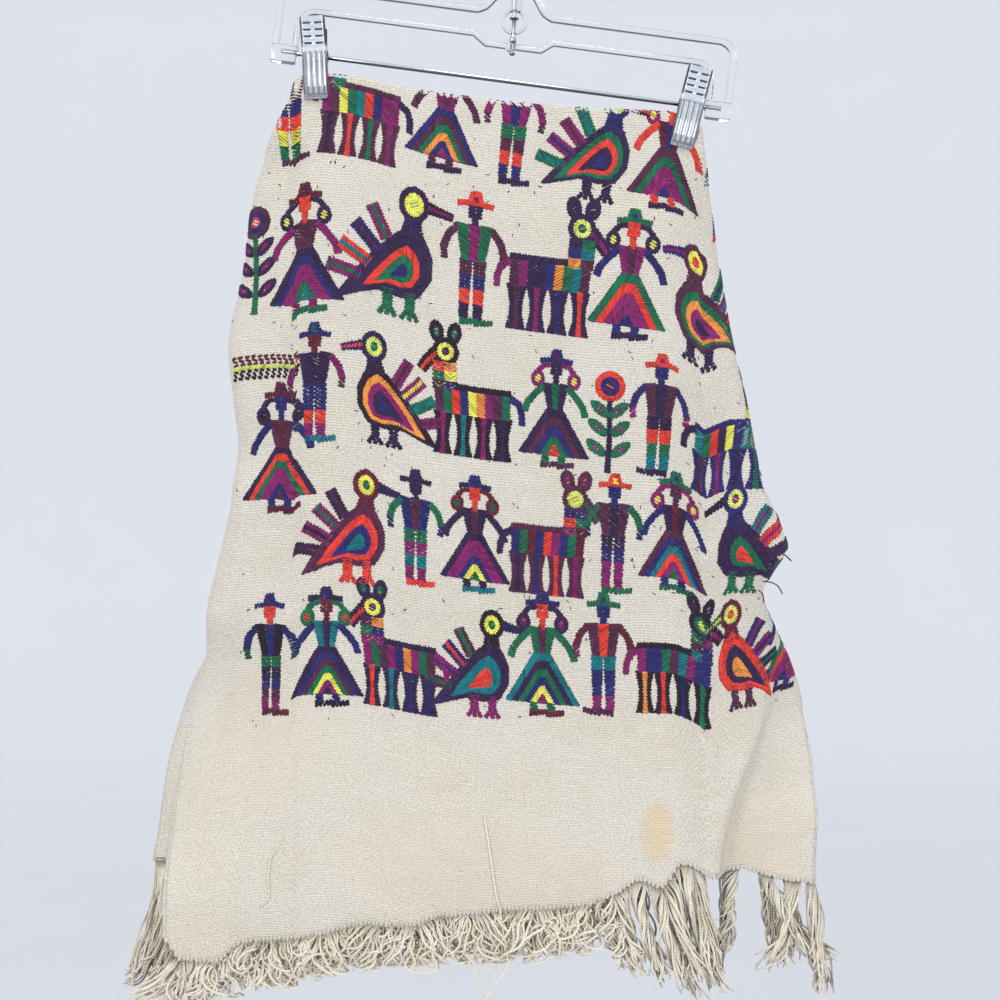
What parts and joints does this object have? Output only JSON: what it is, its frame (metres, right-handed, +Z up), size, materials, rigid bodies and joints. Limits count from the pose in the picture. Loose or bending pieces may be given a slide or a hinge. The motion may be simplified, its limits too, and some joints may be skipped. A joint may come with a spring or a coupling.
{
  "type": "embroidered tapestry on a clip hanger",
  "caption": "Handwoven cotton hanging with embroidered folk figures, folded double and clipped to a clear skirt hanger, with a fringe at each hem.",
  "frame": {"origin": "the point under the crown of the hook where it rests on what holds it", "axes": "+Z up, +X to the right and -Y towards the viewer of the embroidered front"},
  "size_m": [0.5199, 0.1089, 0.8183],
  "materials": {
    "cotton_cloth": "handwoven cream cotton with raised coloured embroidery",
    "fringe_yarn": "soft twisted cream cotton yarn",
    "clear_plastic": "clear moulded plastic",
    "bright_steel": "polished steel",
    "plated_steel": "plated pressed steel"
  },
  "bodies": {
    "root": {"cloth": "cotton_cloth", "fringe_front": "fringe_yarn", "fringe_back": "fringe_yarn", "hanger_frame": "clear_plastic", "rod": "bright_steel", "hook": "bright_steel", "clip_left_front": "plated_steel", "clip_left_back": "plated_steel", "clip_left_spring": "bright_steel", "clip_right_front": "plated_steel", "clip_right_back": "plated_steel", "clip_right_spring": "bright_steel"}
  },
  "joints": []
}
